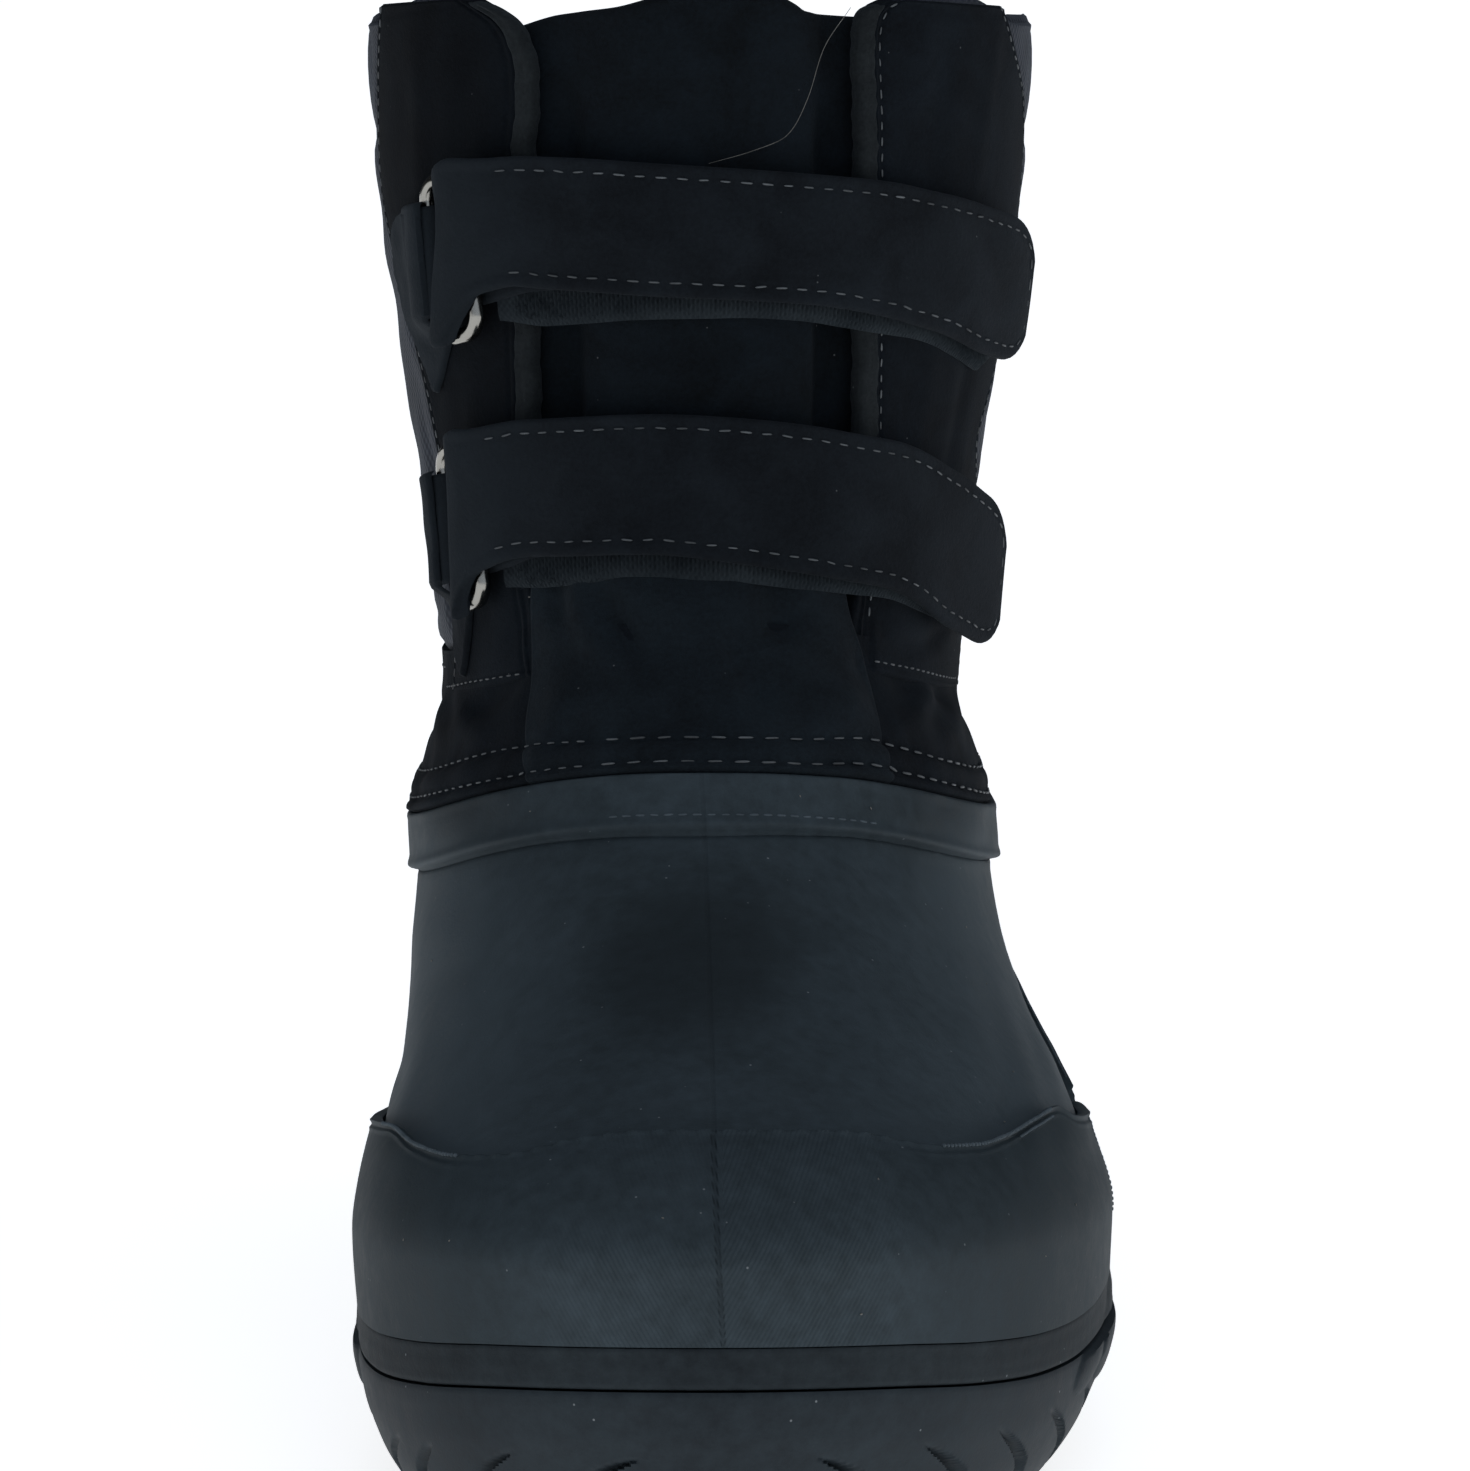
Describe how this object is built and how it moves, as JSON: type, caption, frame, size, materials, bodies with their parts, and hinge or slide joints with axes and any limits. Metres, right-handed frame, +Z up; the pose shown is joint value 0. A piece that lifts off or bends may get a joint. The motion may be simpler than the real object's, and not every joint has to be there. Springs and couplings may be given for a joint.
{
  "type": "stable boot",
  "caption": "Left ankle-high winter stable boot: moulded rubber shell and lugged sole, suede leg with bellows tongue, straps folded through metal loops.",
  "frame": {"origin": "middle of the boot's box, on the floor that the sole stands on", "axes": "+Z up, the toe towards -Y and the heel towards +Y, the inner (big toe) side towards -X, the outer side towards +X"},
  "size_m": [0.1244, 0.295, 0.2293],
  "materials": {
    "sole_rubber": "matt moulded thermoplastic rubber",
    "shell_rubber": "matt moulded rubber with a faint sheen",
    "leg_suede": "napped suede and dull nylon",
    "strap_suede": "napped suede",
    "lining_fabric": "knitted lining",
    "nickel": "nickel-plated wire"
  },
  "bodies": {
    "root": {"outsole": "sole_rubber", "midsole": "sole_rubber", "insole": "lining_fabric", "upper": "shell_rubber", "toe_cap": "shell_rubber", "heel_counter": "shell_rubber", "shaft": "leg_suede", "tongue": "leg_suede", "strap_upper": "strap_suede", "strap_lower": "strap_suede", "chape_upper": "strap_suede", "chape_lower": "strap_suede", "loop_upper": "nickel", "loop_lower": "nickel"}
  },
  "joints": []
}
